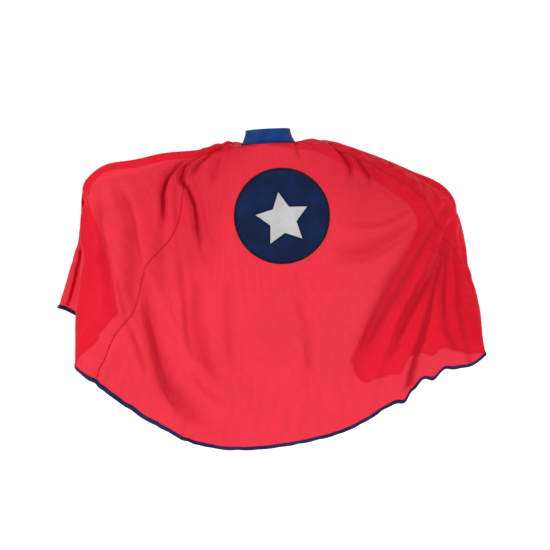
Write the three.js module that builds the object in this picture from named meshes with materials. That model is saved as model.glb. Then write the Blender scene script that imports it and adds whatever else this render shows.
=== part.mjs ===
// Child's superhero cape, shown as worn and spread by two raised arms.
// Millimetres, +Z up, the wearer faces +Y. The origin is the centre of the neckline seam.
import * as THREE from 'three';

// ---- driving dimensions -------------------------------------------------
const CAPE_LENGTH = 640;        // neckline to hem along the centre back
const CLOTH = 1.6;              // modelled thickness of one cloth layer
const GAP = 0.4;                // clearance between neighbouring pieces
const NECK_RADIUS = 48;         // neckline ring, outside of the collar
const NECK_SPAN = 340;          // degrees of the ring the neckline covers
const CAPE_TURN = 10;           // degrees the worn cape has slipped round the neck
const COLLAR_HEIGHT = 25;
const COLLAR_LEAN = 3;          // degrees, the collar sits higher on the wearer's right
const COLLAR_INNER = 44;        // radius of the collar lining's inner face
const TAB_SPAN = 44;            // degrees of the ring the closure tab covers
const TAB_HEIGHT = 18;
const FASTENER = 15;            // degrees, width of the hook and loop squares
const NECK_BINDING = 4.5;       // height of the dark line under the collar
const HEM_BINDING = 7;          // folded width of the bias tape
const FACING = 9;               // turned front edge
const SEAM_TAPE = 6;
const DISC_DIAMETER = 200;
const DISC_DROP = 156;          // disc centre below the neckline
const DISC_BORDER = 4.5;
const STAR_RADIUS = 58.5;
const STAR_WAIST = 0.506;       // inner to outer radius
const STAR_LEAN = 9.5;          // degrees
const STAR_BORDER = 2.6;
const LEFT_SEAM = 0.185;        // places across the cape, front edge to front edge
const CENTRE_BACK = 0.505;
const RIGHT_SEAM = 0.823;

const RED = 0xd81f38, NAVY = 0x161d4a, BLUE = 0x14397a, PATCH = 0x0e2252;
const THREAD = 0x0a0c1c, STAR = 0xc8c8cb, TAPE = 0xb01a30, WHITE = 0xf0f0ee;
const rad = THREE.MathUtils.degToRad;

// ---- the draped surface -------------------------------------------------
// Stations across the cape (0 = left front edge, 1 = right front edge) and down it.
// Each row gives the hang of the cloth at that level: [x, y, z] per station.
const ACROSS = [0, 0.06, 0.12, 0.16, LEFT_SEAM, 0.345, CENTRE_BACK, 0.66, 0.735, RIGHT_SEAM, 0.91, 1];
const DOWN = [0, 0.09, 0.2, 0.42, 0.6, 0.75, 0.88, 1];
const COLLARBONE = [[-66, 44, -16], [-76, 26, -5], [-88, 6, -5], [-94, -8, -7], [-98, -16, -12],
  [-50, -64, -60], [15, -67, -60], [70, -54, -24], [92, -26, -1], [96, 8, 7], [78, 40, 1],
  [56, 56, -10]];
const SHOULDER = [[-128, 36, -30], [-134, 6, -15], [-146, -16, -22], [-158, -24, -34], [-162, -30, -50],
  [-62, -72, -130], [22, -72, -124], [98, -68, -98], [136, -52, -50], [156, -28, -18], [136, 12, 2],
  [112, 46, -20]];
const ARM = [[-252, 42, -46], [-250, 8, -38], [-248, -34, -92], [-226, -52, -146], [-194, -56, -184],
  [-80, -78, -264], [50, -80, -260], [168, -74, -212], [240, -62, -154], [298, -38, -94],
  [298, 24, -62], [250, 74, -92]];
const HAND = [[-376, 80, -84], [-382, 54, -92], [-372, 6, -158], [-312, -38, -218], [-258, -55, -268],
  [-102, -76, -374], [71, -78, -370], [222, -72, -300], [318, -56, -238], [380, -18, -205],
  [393, 50, -124], [318, 100, -168]];
const BELOW_HAND = [[-403, 95, -180], [-354, 84, -190], [-391, 8, -250], [-338, -40, -305],
  [-283, -56, -352], [-118, -72, -468], [88, -74, -462], [268, -68, -372], [374, -52, -318],
  [428, 0, -286], [386, 70, -258], [258, 104, -298]];
const THIGH = [[-424, 99, -262], [-332, 84, -264], [-396, 18, -335], [-380, -34, -394],
  [-328, -52, -414], [-133, -70, -554], [104, -70, -542], [308, -64, -440], [434, -34, -385],
  [432, 26, -372], [340, 78, -412], [216, 112, -376]];
const HEM = [[-450, 100, -347], [-326, 80, -340], [-366, 20, -418], [-407, -28, -464],
  [-368, -48, -505], [-147, -68, -631], [119, -68, -616], [345, -60, -497], [457, -22, -442],
  [338, 42, -450], [218, 84, -508], [176, 120, -460]];
const ROWS = [null, COLLARBONE, SHOULDER, ARM, HAND, BELOW_HAND, THIGH, HEM];

function neckPoint(u) {
  const angle = rad(NECK_SPAN * (u - 0.5) + CAPE_TURN);
  const x = NECK_RADIUS * Math.sin(angle);
  return [x, -NECK_RADIUS * Math.cos(angle), x * Math.tan(rad(COLLAR_LEAN)) - NECK_BINDING - 4 * GAP];
}

// Smooth curve through unevenly spaced stations.
function through(stations, values, at) {
  const last = stations.length - 1;
  let k = 0;
  while (k < last - 1 && at > stations[k + 1]) k++;
  const slope = (i) => {
    const a = Math.max(i - 1, 0), b = Math.min(i + 1, last);
    return values[a].map((v, c) => (values[b][c] - v) / (stations[b] - stations[a]));
  };
  const width = stations[k + 1] - stations[k], t = (at - stations[k]) / width;
  const m0 = slope(k), m1 = slope(k + 1), t2 = t * t, t3 = t2 * t;
  return values[k].map((v, c) => v * (2 * t3 - 3 * t2 + 1) + m0[c] * width * (t3 - 2 * t2 + t)
    + values[k + 1][c] * (3 * t2 - 2 * t3) + m1[c] * width * (t3 - t2));
}

function drape(u, v) {
  const column = ROWS.map((row) => row ? through(ACROSS, row, u) : neckPoint(u));
  return new THREE.Vector3(...through(DOWN, column, v));
}

function drapeNormal(u, v) {
  const e = 0.004;
  const du = drape(Math.min(u + e, 1), v).sub(drape(Math.max(u - e, 0), v));
  const dv = drape(u, Math.min(v + e, 1)).sub(drape(u, Math.max(v - e, 0)));
  return du.cross(dv).normalize().negate();
}

// Point at a height above the cloth on its outer side (away from the wearer).
const lifted = (u, v, height) => drape(u, v).addScaledVector(drapeNormal(u, v), height);

// ---- solids from grids --------------------------------------------------
const steps = (from, to, count) =>
  Array.from({ length: count + 1 }, (_, i) => from + (to - from) * i / count);

function solidFromLayers(outer, inner, wrap = false) {
  const rows = outer.length, cols = outer[0].length, points = [...outer.flat(), ...inner.flat()];
  const base = rows * cols, index = [];
  const id = (i, j, side) => side * base + (i % rows) * cols + j;
  const quad = (a, b, c, d) => index.push(a, b, c, a, c, d);
  const across = wrap ? rows : rows - 1;
  for (let i = 0; i < across; i++) {
    for (let j = 0; j < cols - 1; j++) {
      quad(id(i, j, 0), id(i, j + 1, 0), id(i + 1, j + 1, 0), id(i + 1, j, 0));
      quad(id(i, j, 1), id(i + 1, j, 1), id(i + 1, j + 1, 1), id(i, j + 1, 1));
    }
    quad(id(i, 0, 0), id(i + 1, 0, 0), id(i + 1, 0, 1), id(i, 0, 1));
    quad(id(i, cols - 1, 0), id(i, cols - 1, 1), id(i + 1, cols - 1, 1), id(i + 1, cols - 1, 0));
  }
  if (!wrap) for (let j = 0; j < cols - 1; j++) {
    quad(id(0, j, 0), id(0, j, 1), id(0, j + 1, 1), id(0, j + 1, 0));
    quad(id(rows - 1, j, 0), id(rows - 1, j + 1, 0), id(rows - 1, j + 1, 1), id(rows - 1, j, 1));
  }
  const geometry = new THREE.BufferGeometry().setFromPoints(points);
  geometry.setIndex(index);
  return outward(geometry);
}

// Turn every face over if the closed body came out inside out.
function outward(geometry) {
  const p = geometry.attributes.position, index = geometry.index.array;
  const a = new THREE.Vector3(), b = new THREE.Vector3(), c = new THREE.Vector3();
  let volume = 0;
  for (let i = 0; i < index.length; i += 3) {
    a.fromBufferAttribute(p, index[i]);
    b.fromBufferAttribute(p, index[i + 1]);
    c.fromBufferAttribute(p, index[i + 2]);
    volume += a.dot(b.cross(c));
  }
  if (volume < 0) for (let i = 0; i < index.length; i += 3) {
    [index[i], index[i + 1]] = [index[i + 1], index[i]];
  }
  geometry.computeVertexNormals();
  return geometry;
}

// The entries of us are fixed places across the cape, or functions of the place down it.
function clothPanel(us, vs, low, high) {
  const across = (u, v) => typeof u === 'function' ? u(v) : u;
  const layer = (height) => us.map((u) => vs.map((v) => lifted(across(u, v), v, height)));
  return solidFromLayers(layer(high), layer(low));
}

// Millimetres of cloth per unit across, to turn a width into a share of the cape.
const spread = (u, v) => drape(u, v).distanceTo(drape(u + (u > 0.5 ? -0.01 : 0.01), v)) / 0.01;

const group = new THREE.Group();
group.name = 'superhero_cape';

function add(name, geometry, color, roughness = 0.6, metalness = 0) {
  const mesh = new THREE.Mesh(geometry, new THREE.MeshStandardMaterial({ color, roughness, metalness }));
  mesh.name = name;
  group.add(mesh);
}

// ---- body panels, edge facings, bindings and seam tapes -----------------
const HALF = CLOTH / 2;
const ROWS_DOWN = steps(0, 1 - HEM_BINDING / CAPE_LENGTH - 0.0012, 26);
const beside = (seam, side) => (v) => seam + side * GAP / 2 / spread(seam, v);
const PANELS = {
  left_side_panel: [...steps(0, LEFT_SEAM, 14).slice(0, -1), beside(LEFT_SEAM, -1)],
  back_panel: [beside(LEFT_SEAM, 1), ...steps(LEFT_SEAM, RIGHT_SEAM, 30).slice(1, -1),
    beside(RIGHT_SEAM, -1)],
  right_side_panel: [beside(RIGHT_SEAM, 1), ...steps(RIGHT_SEAM, 1, 14).slice(1)],
};

function bodyPanels() {
  for (const [name, us] of Object.entries(PANELS)) {
    add(name, clothPanel(us, ROWS_DOWN, -HALF, HALF), RED, 0.45);
  }
}

// A strip laid against the cloth, a constant width across it.
function strip(centre, width, vs, low, high) {
  const layer = (height) => [-1, 0, 1].map((side) =>
    vs.map((v) => lifted(centre + side * width / 2 / spread(centre, v), v, height)));
  return solidFromLayers(layer(high), layer(low));
}

const UNDER = -HALF - 1.1;      // top of the pieces sewn to the inside

function edgeFacings() {
  const vs = ROWS_DOWN.slice(4, -1);
  add('left_edge_facing', strip(LEFT_SEAM / 14, FACING, vs, UNDER - CLOTH * 0.8, UNDER), RED, 0.5);
  add('right_edge_facing', strip(1 - (1 - RIGHT_SEAM) / 14, FACING, vs, UNDER - CLOTH * 0.8, UNDER), RED, 0.5);
}

function seamTapes() {
  const vs = ROWS_DOWN.slice(4, -1);
  add('left_seam_tape', strip(LEFT_SEAM, SEAM_TAPE, vs, UNDER - CLOTH * 0.7, UNDER), TAPE, 0.7);
  add('right_seam_tape', strip(RIGHT_SEAM, SEAM_TAPE, vs, UNDER - CLOTH * 0.7, UNDER), TAPE, 0.7);
}

function hemBinding() {
  const inset = HEM_BINDING / CAPE_LENGTH;
  const us = Object.values(PANELS).flat();
  add('hem_binding', clothPanel(us, [1 - inset, 1], -CLOTH, CLOTH), NAVY, 0.55);
}

// ---- emblem: disc, satin stitch borders and star ------------------------
const DISC_CENTRE = new THREE.Vector2(DISC_DROP * Math.tan(rad(CAPE_TURN + 0.6)), -DISC_DROP);
const DISC_BASE = HALF + 0.7, DISC_TOP = DISC_BASE + 1.2, STAR_BASE = DISC_TOP + 0.5;

// Place across and down the cape that lies straight behind a point of the back view.
function under(x, z) {
  let u = CENTRE_BACK, v = 0.25;
  for (let k = 0; k < 8; k++) {
    const e = 0.001, p = drape(u, v), pu = drape(u + e, v).sub(p), pv = drape(u, v + e).sub(p);
    const dx = x - p.x, dz = z - p.z, det = (pu.x * pv.z - pu.z * pv.x) / e;
    u += (dx * pv.z - dz * pv.x) / det;
    v += (pu.x * dz - pu.z * dx) / det;
  }
  return [u, v];
}

const onBack = (point, height) => lifted(...under(point.x, point.y), height);

function filled(outline, centre, rings, low, high) {
  const shrunk = (f) => outline.map((p) => p.clone().sub(centre).multiplyScalar(f).add(centre));
  const loops = steps(1 / rings, 1, rings - 1).map(shrunk);
  const n = outline.length, points = [], index = [];
  for (const height of [high, low]) {
    points.push(onBack(centre, height));
    for (const loop of loops) points.push(...loop.map((p) => onBack(p, height)));
  }
  const base = 1 + rings * n;
  const id = (ring, i, side) => side * base + 1 + ring * n + i % n;
  for (let i = 0; i < n; i++) {
    index.push(0, id(0, i, 0), id(0, i + 1, 0), base, id(0, i + 1, 1), id(0, i, 1));
    for (let r = 0; r < rings - 1; r++) {
      const [a, b, c, d] = [id(r, i, 0), id(r + 1, i, 0), id(r + 1, i + 1, 0), id(r, i + 1, 0)];
      index.push(a, b, c, a, c, d, a + base, c + base, b + base, a + base, d + base, c + base);
    }
    const [p, q] = [id(rings - 1, i, 0), id(rings - 1, i + 1, 0)];
    index.push(p, p + base, q + base, p, q + base, q);
  }
  const geometry = new THREE.BufferGeometry().setFromPoints(points);
  geometry.setIndex(index);
  return outward(geometry);
}

function framed(inner, outer, low, high) {
  const layer = (height) => inner.map((p, i) => [onBack(p, height), onBack(outer[i], height)]);
  return solidFromLayers(layer(high), layer(low), true);
}

function circle(radius, count = 64) {
  return steps(0, 2 * Math.PI, count).slice(0, count).map((t) =>
    new THREE.Vector2(Math.sin(t), Math.cos(t)).multiplyScalar(radius).add(DISC_CENTRE));
}

const STAR_CENTRE = DISC_CENTRE.clone().add(new THREE.Vector2(1.5, -7));

// Five-pointed outline with a constant margin outside the plain star.
function starOutline(margin = 0, split = 2) {
  const tip = STAR_RADIUS, waist = STAR_RADIUS * STAR_WAIST, corners = [];
  const half = Math.atan2(waist * Math.sin(Math.PI / 5), tip - waist * Math.cos(Math.PI / 5));
  for (let i = 0; i < 10; i++) {
    const t = i * Math.PI / 5 - rad(STAR_LEAN);
    const grow = i % 2 ? margin / Math.sin(half + Math.PI / 5) : margin / Math.sin(half);
    const r = (i % 2 ? waist : tip) + Math.min(grow, 2.2 * margin);
    corners.push(new THREE.Vector2(Math.sin(t), Math.cos(t)).multiplyScalar(r).add(STAR_CENTRE));
  }
  return corners.flatMap((p, i) => steps(0, 1, split).slice(0, split).map((f) =>
    p.clone().lerp(corners[(i + 1) % 10], f)));
}

function emblem() {
  const rim = DISC_DIAMETER / 2, hole = rim - DISC_BORDER;
  add('patch_disc', filled(circle(hole - GAP), DISC_CENTRE, 7, DISC_BASE, DISC_TOP), PATCH, 0.6);
  add('patch_border', framed(circle(hole), circle(rim), DISC_BASE, DISC_TOP + 0.7), THREAD, 0.45);
  add('star_applique', filled(starOutline(), STAR_CENTRE, 4, STAR_BASE, STAR_BASE + 1), STAR, 0.75);
  add('star_border', framed(starOutline(GAP), starOutline(GAP + STAR_BORDER), STAR_BASE,
    STAR_BASE + 1.3), THREAD, 0.45);
}

// ---- collar, neck binding, closure tab and label -------------------------
// A point of the neck ring; the angle runs from the centre back to the wearer's right.
function ringPoint(angle, radius, height) {
  const x = radius * Math.sin(rad(angle));
  return new THREE.Vector3(x, -radius * Math.cos(rad(angle)), height + x * Math.tan(rad(COLLAR_LEAN)));
}

function band(from, to, count, radius, thick, bottom, top) {
  const at = (extra) => steps(from, to, count).map((angle) => [bottom, (bottom + top) / 2, top]
    .map((z) => ringPoint(angle, radius(angle) + extra, z)));
  return solidFromLayers(at(thick), at(0));
}

const COLLAR_FROM = CAPE_TURN - NECK_SPAN / 2, COLLAR_TO = CAPE_TURN + NECK_SPAN / 2;
const COLLAR_BASE = 1, COLLAR_TOP = COLLAR_BASE + COLLAR_HEIGHT;
const ring = (radius) => () => radius;

function collar() {
  const layer = (name, radius, thick, color, inset = 0) =>
    add(name, band(COLLAR_FROM + inset, COLLAR_TO - inset, 40, ring(radius), thick,
      COLLAR_BASE + inset * 0.5, COLLAR_TOP - inset * 0.5), color, 0.85);
  layer('collar_lining', COLLAR_INNER, 1.2, BLUE);
  layer('collar_interfacing', COLLAR_INNER + 1.6, 0.8, WHITE, 1.5);
  layer('collar_outer', COLLAR_INNER + 2.8, 1.4, BLUE);
  add('neck_binding', band(COLLAR_FROM, COLLAR_TO, 40, ring(COLLAR_INNER + 1), 4.5,
    -NECK_BINDING + GAP, COLLAR_BASE - GAP), NAVY, 0.55);
}

// The tab leaves the collar's right front end and crosses to its left front end.
function closureTab() {
  const start = COLLAR_TO + 1.2, end = start + TAB_SPAN;
  const bottom = COLLAR_BASE + (COLLAR_HEIGHT - TAB_HEIGHT) / 2, top = bottom + TAB_HEIGHT;
  const rise = (base) => (angle) => base + 5.2 * THREE.MathUtils.smoothstep(angle, start, start + 16);
  add('tab_lining', band(start, end - 0.6, 14, rise(COLLAR_INNER + 1.6), 1, bottom, top), BLUE, 0.8);
  add('tab_outer', band(start, end, 14, rise(COLLAR_INNER + 3), 1.2, bottom, top), BLUE, 0.85);
  const near = end - FASTENER - 3;
  const square = (name, radius, color) => add(name,
    band(near, near + FASTENER, 5, ring(radius), 0.8, bottom + 2.5, top - 2.5), color, 0.95);
  square('hook_patch', COLLAR_INNER + 5.6, NAVY);
  square('loop_patch', COLLAR_INNER + 4.5, NAVY);
}

function careLabel() {
  add('care_label', band(CAPE_TURN - 14, CAPE_TURN + 14, 6, ring(COLLAR_INNER - 1.3), 0.8,
    COLLAR_BASE + 5, COLLAR_BASE + 19), WHITE, 0.6);
}

bodyPanels();
edgeFacings();
seamTapes();
hemBinding();
emblem();
collar();
closureTab();
careLabel();

export default group;
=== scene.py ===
"""Child's superhero cape, worn and spread by two raised arms. Metres, +Z up, the wearer faces +Y."""
import math

import bpy
import numpy as np
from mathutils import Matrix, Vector


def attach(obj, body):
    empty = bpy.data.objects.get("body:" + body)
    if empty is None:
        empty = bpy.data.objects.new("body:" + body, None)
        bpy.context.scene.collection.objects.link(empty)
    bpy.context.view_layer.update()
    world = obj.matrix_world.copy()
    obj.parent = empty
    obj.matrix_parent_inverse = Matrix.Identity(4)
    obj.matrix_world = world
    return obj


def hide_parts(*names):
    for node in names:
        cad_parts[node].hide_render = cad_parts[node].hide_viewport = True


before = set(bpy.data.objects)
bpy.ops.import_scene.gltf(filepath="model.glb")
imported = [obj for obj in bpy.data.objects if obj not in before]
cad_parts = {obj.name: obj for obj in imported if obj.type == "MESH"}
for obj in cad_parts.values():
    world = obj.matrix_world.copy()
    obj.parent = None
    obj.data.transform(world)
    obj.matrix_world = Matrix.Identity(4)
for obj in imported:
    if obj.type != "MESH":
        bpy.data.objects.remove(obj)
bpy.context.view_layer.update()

DISC = np.array([0.0290, -0.1560])                # centre of the emblem in the back view, X and Z

# ---- the draped surface: stations across (0 left front edge, 1 right front edge) and down -------
LEFT_SEAM, CENTRE_BACK, RIGHT_SEAM = 0.185, 0.505, 0.823
LENGTH = 0.640
NECK_RADIUS, NECK_DROP = 0.0545, 0.0030
NECK_SPAN, TURN = 340.0, 10.0                     # degrees that the neck seam goes round, and its centre
LEAN = math.tan(math.radians(3))                  # the collar sits a little higher on the right
ACROSS = np.array([0, 0.06, 0.12, 0.16, LEFT_SEAM, 0.345, CENTRE_BACK, 0.66, 0.735, RIGHT_SEAM, 0.91, 1])
DOWN = np.array([0, 0.09, 0.2, 0.42, 0.6, 0.75, 0.88, 1])
# one row of [x, y, z] in mm at each place down, from the left front edge across the back to the right
COLLARBONE = [
    [-66, 44, -16], [-76, 26, -5], [-88, 6, -5], [-94, -8, -7],
    [-98, -16, -12], [-50, -64, -60], [15, -67, -60], [70, -54, -24],
    [92, -26, -1], [96, 8, 7], [78, 40, 1], [56, 56, -10],
]
SHOULDER = [
    [-128, 36, -30], [-134, 6, -15], [-146, -16, -22], [-158, -24, -34],
    [-162, -30, -50], [-62, -72, -130], [22, -72, -124], [98, -68, -98],
    [136, -52, -50], [156, -28, -18], [136, 12, 2], [112, 46, -20],
]
ARM = [
    [-252, 42, -46], [-250, 8, -38], [-248, -34, -92], [-226, -52, -146],
    [-194, -56, -184], [-80, -78, -264], [50, -80, -260], [168, -74, -212],
    [240, -62, -154], [298, -38, -94], [298, 24, -62], [250, 74, -92],
]
HAND = [
    [-376, 80, -84], [-382, 54, -92], [-372, 6, -158], [-312, -38, -218],
    [-258, -55, -268], [-102, -76, -374], [71, -78, -370], [222, -72, -300],
    [318, -56, -238], [380, -18, -205], [393, 50, -124], [318, 100, -168],
]
BELOW_HAND = [
    [-403, 95, -180], [-354, 84, -190], [-391, 8, -250], [-338, -40, -305],
    [-283, -56, -352], [-118, -72, -468], [88, -74, -462], [268, -68, -372],
    [374, -52, -318], [428, 0, -286], [386, 70, -258], [258, 104, -298],
]
THIGH = [
    [-424, 99, -262], [-332, 84, -264], [-396, 18, -335], [-393, -34, -396],
    [-328, -52, -414], [-133, -70, -554], [104, -70, -542], [308, -64, -440],
    [434, -34, -385], [432, 26, -372], [340, 78, -412], [216, 112, -376],
]
HEM = [
    [-450, 100, -347], [-326, 80, -340], [-366, 20, -418], [-411, -28, -464],
    [-368, -48, -505], [-147, -68, -631], [119, -68, -616], [345, -60, -497],
    [457, -22, -442], [338, 42, -450], [218, 84, -508], [176, 120, -460],
]
ROWS = [COLLARBONE, SHOULDER, ARM, HAND, BELOW_HAND, THIGH, HEM]


def through(stations, values, at):
    """Smooth curve through unevenly spaced stations, for many places at once."""
    at = np.asarray(at, float)
    k = np.clip(np.searchsorted(stations, at, side="right") - 1, 0, len(stations) - 2)
    slope = np.empty_like(values)
    column = (-1, *[1] * (values.ndim - 1))
    slope[1:-1] = (values[2:] - values[:-2]) / (stations[2:] - stations[:-2]).reshape(column)
    slope[0] = (values[1] - values[0]) / (stations[1] - stations[0])
    slope[-1] = (values[-1] - values[-2]) / (stations[-1] - stations[-2])
    width = stations[k + 1] - stations[k]
    t = (at - stations[k]) / width
    t, width = t.reshape(column), width.reshape(column)
    return (values[k] * (2 * t**3 - 3 * t**2 + 1) + slope[k] * width * (t**3 - 2 * t**2 + t)
            + values[k + 1] * (3 * t**2 - 2 * t**3) + slope[k + 1] * width * (t**3 - t**2))


def neck_ring(u):
    """The sewn neck edge of the cloth."""
    angle = np.radians(NECK_SPAN * (np.asarray(u, float) - 0.5) + TURN)
    x = NECK_RADIUS * np.sin(angle)
    return np.stack([x, -NECK_RADIUS * np.cos(angle), x * LEAN - NECK_DROP], -1)


def loft(us, vs):
    """The hang of the cloth as a grid of points, one row per place across."""
    rows = [neck_ring(us)] + [through(ACROSS, np.array(r) / 1000, us) for r in ROWS]
    return np.swapaxes(through(DOWN, np.array(rows), vs), 0, 1)


def grid_normals(P):
    """Unit normals of a grid of points; they point away from the wearer."""
    n = np.cross(np.gradient(P, axis=1), np.gradient(P, axis=0))
    return n / np.maximum(np.linalg.norm(n, axis=-1, keepdims=True), 1e-12)


class Surface:
    """A grid of points over (u, v) that other pieces are laid on."""

    def __init__(self, us, vs, P):
        self.us, self.vs, self.P, self.N = us, vs, P, grid_normals(P)

    def at(self, u, v, height=0.0):
        """Points at (u, v), raised along the normal by height."""
        u, v, height = np.broadcast_arrays(np.clip(u, 0, 1), np.clip(v, 0, 1), height)
        i = np.clip(np.searchsorted(self.us, u, side="right") - 1, 0, len(self.us) - 2)
        j = np.clip(np.searchsorted(self.vs, v, side="right") - 1, 0, len(self.vs) - 2)
        a = ((u - self.us[i]) / (self.us[i + 1] - self.us[i]))[..., None]
        b = ((v - self.vs[j]) / (self.vs[j + 1] - self.vs[j]))[..., None]

        def mix(G):
            return ((1 - a) * (1 - b) * G[i, j] + a * (1 - b) * G[i + 1, j]
                    + (1 - a) * b * G[i, j + 1] + a * b * G[i + 1, j + 1])
        n = mix(self.N)
        n /= np.linalg.norm(n, axis=-1, keepdims=True)
        return mix(self.P) + n * height[..., None]

    def under(self, x, z, u=CENTRE_BACK, v=0.25):
        """Places (u, v) straight behind points of the back view."""
        u, v = np.full(np.shape(x), float(u)), np.full(np.shape(x), float(v))
        step, eased = 0.004, 0.9
        for _ in range(12):
            p = self.at(u, v)
            pu, pv = (self.at(u + step, v) - p) / step, (self.at(u, v + step) - p) / step
            dx, dz = x - p[..., 0], z - p[..., 2]
            det = pu[..., 0] * pv[..., 2] - pu[..., 2] * pv[..., 0]
            u = u + eased * (dx * pv[..., 2] - dz * pv[..., 0]) / det
            v = v + eased * (pu[..., 0] * dz - pu[..., 2] * dx) / det
        return u, v


def stations(count_side, count_back):
    """Evenly spaced places across each panel, with one exactly on each seam."""
    left = np.linspace(0, LEFT_SEAM, count_side, endpoint=False)
    back = np.linspace(LEFT_SEAM, RIGHT_SEAM, count_back, endpoint=False)
    return np.concatenate([left, back, np.linspace(RIGHT_SEAM, 1, count_side + 1)])


def finer(us, vs, P, times):
    """The same surface with each cell cut into times by times, on smooth curves."""
    us2 = np.interp(np.arange((len(us) - 1) * times + 1) / times, np.arange(len(us)), us)
    vs2 = np.interp(np.arange((len(vs) - 1) * times + 1) / times, np.arange(len(vs)), vs)
    Q = through(us, P, us2)
    return us2, vs2, np.swapaxes(through(vs, np.swapaxes(Q, 0, 1), vs2), 0, 1)


# ---- mesh helpers --------------------------------------------------------------------------------
def new_mesh(name, verts, faces, uv=None):
    """An object in the scene, smooth shaded, with one UV pair for each vertex."""
    me = bpy.data.meshes.new(name)
    me.from_pydata([tuple(p) for p in verts], [], [tuple(f) for f in faces])
    if uv is not None:
        layer = me.uv_layers.new(name="cloth")
        loops = np.empty(len(me.loops), np.int32)
        me.loops.foreach_get("vertex_index", loops)
        layer.data.foreach_set("uv", np.asarray(uv, np.float32)[loops].ravel())
    me.polygons.foreach_set("use_smooth", [True] * len(me.polygons))
    ob = bpy.data.objects.new(name, me)
    bpy.context.scene.collection.objects.link(ob)
    return ob


def quads(n, m, wrap_n=False, wrap_m=False, base=0):
    """Faces of a grid of n by m points, closed round either way where asked."""
    i, j = np.meshgrid(np.arange(n if wrap_n else n - 1), np.arange(m if wrap_m else m - 1),
                       indexing="ij")
    i, j = i.ravel(), j.ravel()
    i2, j2 = (i + 1) % n, (j + 1) % m
    return (np.stack([i * m + j, i * m + j2, i2 * m + j2, i2 * m + j], -1) + base).tolist()


def sheet_mesh(name, P, uv, painted_shade):
    """A single layer of cloth that carries its painted shade as a colour attribute."""
    n, m = P.shape[:2]
    ob = new_mesh(name, P.reshape(-1, 3), quads(n, m), uv.reshape(-1, 2))
    shade = ob.data.color_attributes.new("painted_shade", "FLOAT_COLOR", "POINT")
    shade.data.foreach_set("color", np.repeat(painted_shade.reshape(-1, 1), 4, 1).astype(np.float32).ravel())
    return ob


def swept(name, sections, closed=False, uv=None):
    """A solid from sections (count, points, 3), each a closed outline, capped unless it closes."""
    n, m = sections.shape[:2]
    faces = quads(n, m, wrap_n=closed, wrap_m=True)
    if not closed:
        faces += [list(range(m)), list(range((n - 1) * m, n * m))[::-1]]
    return new_mesh(name, sections.reshape(-1, 3), faces, None if uv is None else uv.reshape(-1, 2))


def stitches(name, points, tangents, normals, length, radius, material):
    """A row of short thread stitches, each a small capsule lying along its tangent."""
    rings, around = 7, 6
    t = np.linspace(0, 1, rings)
    rad = np.sqrt(np.clip(1 - (2 * t - 1) ** 4, 0.02, 1))
    ring = np.linspace(0, 2 * np.pi, around, endpoint=False)
    verts, faces = [], []
    side = np.cross(tangents, normals)
    for k in range(len(points)):
        body = (points[k] + np.outer((t - 0.5) * length, tangents[k])
                + np.outer((np.sin(np.pi * t) * 0.6 - 0.3) * radius, normals[k]))
        circle = (np.cos(ring)[:, None] * side[k] + np.sin(ring)[:, None] * normals[k] * 0.7) * radius
        section = body[:, None, :] + rad[:, None, None] * circle[None]
        base = len(verts)
        verts += section.reshape(-1, 3).tolist()
        faces += quads(rings, around, wrap_m=True, base=base)
        last = base + around * (rings - 1)
        faces += [list(range(base, base + around)), list(range(last, last + around))[::-1]]
    ob = new_mesh(name, verts, faces)
    ob.data.materials.append(material)
    return ob


# ---- materials -----------------------------------------------------------------------------------
def srgb(r, g, b):
    """A colour of 0 to 255 a channel as linear values."""
    return tuple((c / 255) / 12.92 if c <= 10 else ((c / 255 + 0.055) / 1.055) ** 2.4 for c in (r, g, b))


class Nodes:
    """A new material and short ways to add, link and set its nodes."""

    def __init__(self, name):
        self.mat = bpy.data.materials.new(name)
        self.mat.use_nodes = True
        self.tree = self.mat.node_tree
        self.shader = self.tree.nodes["Principled BSDF"]
        self.out = self.tree.nodes["Material Output"]

    def add(self, kind, **values):
        node = self.tree.nodes.new(kind)
        for key, value in values.items():
            if hasattr(node, key):
                setattr(node, key, value)
            else:
                node.inputs[key.replace("_", " ")].default_value = value
        return node

    def link(self, a, b):
        self.tree.links.new(a, b)

    def set(self, **values):
        for key, value in values.items():
            self.shader.inputs[key.replace("_", " ")].default_value = value


def noise_of(n, coords, scale, detail=3.0, rough=0.5):
    node = n.add("ShaderNodeTexNoise")
    node.inputs["Scale"].default_value = scale
    node.inputs["Detail"].default_value = detail
    node.inputs["Roughness"].default_value = rough
    n.link(coords, node.inputs["Vector"])
    return node.outputs["Fac"]


def ramp_of(n, fac, *stops):
    node = n.add("ShaderNodeValToRGB")
    for k, (pos, col) in enumerate(stops):
        el = node.color_ramp.elements[k] if k < 2 else node.color_ramp.elements.new(pos)
        el.position, el.color = pos, (*col, 1) if len(col) == 3 else col
    n.link(fac, node.inputs["Fac"])
    return node.outputs["Color"]


def math_of(n, op, a, b=None, clamp=False):
    node = n.add("ShaderNodeMath", operation=op, use_clamp=clamp)
    for k, x in enumerate((a, b)):
        if x is None:
            continue
        if isinstance(x, (int, float)):
            node.inputs[k].default_value = x
        else:
            n.link(x, node.inputs[k])
    return node.outputs[0]


def weave_height(n, uv, threads_u, threads_v):
    """Plain weave: over and under threads, from a mesh's UV map in metres."""
    sep = n.add("ShaderNodeSeparateXYZ")
    n.link(uv, sep.inputs[0])
    a = math_of(n, "SINE", math_of(n, "MULTIPLY", sep.outputs[0], threads_u))
    b = math_of(n, "SINE", math_of(n, "MULTIPLY", sep.outputs[1], threads_v))
    return math_of(n, "MULTIPLY", a, b)


def bump_of(n, height, strength, distance, normal=None):
    node = n.add("ShaderNodeBump")
    node.inputs["Strength"].default_value = strength
    node.inputs["Distance"].default_value = distance
    n.link(height, node.inputs["Height"])
    if normal is not None:
        n.link(normal, node.inputs["Normal"])
    return node.outputs["Normal"]


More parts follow.
